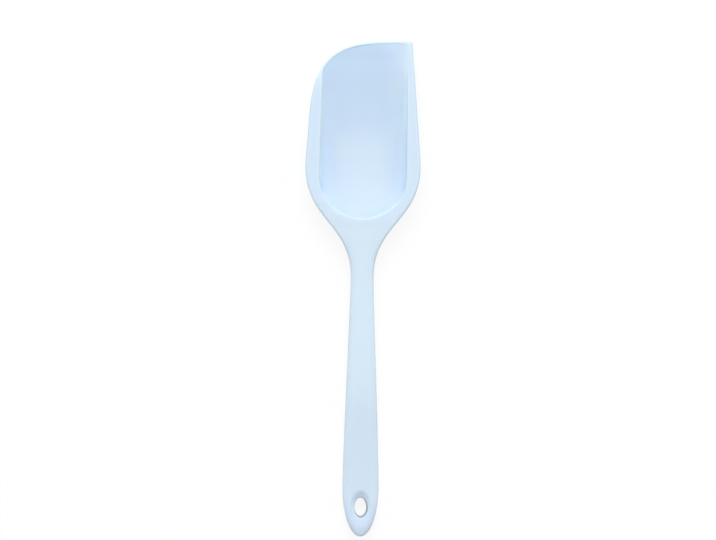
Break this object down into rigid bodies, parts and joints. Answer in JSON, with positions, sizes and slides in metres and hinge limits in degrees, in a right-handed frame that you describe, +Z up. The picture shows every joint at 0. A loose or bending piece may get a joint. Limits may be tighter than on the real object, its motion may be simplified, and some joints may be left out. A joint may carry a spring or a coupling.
{
  "type": "silicone spoon spatula",
  "caption": "One-piece silicone scraper spoon: shallow dished blade with one square and one swept corner, flat rim, waisted neck and rounded handle with an oval hanging hole.",
  "frame": {"origin": "middle of the object's footprint, on the table that its back lies on", "axes": "+Y along the tool from the hanging end to the tip, +Z up out of the bowl, +X to the square corner of the tip"},
  "size_m": [0.0666, 0.288, 0.0135],
  "materials": {
    "silicone_skin": "soft matte pale blue silicone, very fine satin mould texture",
    "nylon_core": "natural glass-filled nylon, matte, hidden inside the skin",
    "silicone_plug": "second-shot silicone, matte, a shade duller than the skin"
  },
  "bodies": {
    "root": {"skin": "silicone_skin", "core": "nylon_core", "locating_plug_1": "silicone_plug", "locating_plug_2": "silicone_plug", "locating_plug_3": "silicone_plug", "locating_plug_4": "silicone_plug"}
  },
  "joints": []
}
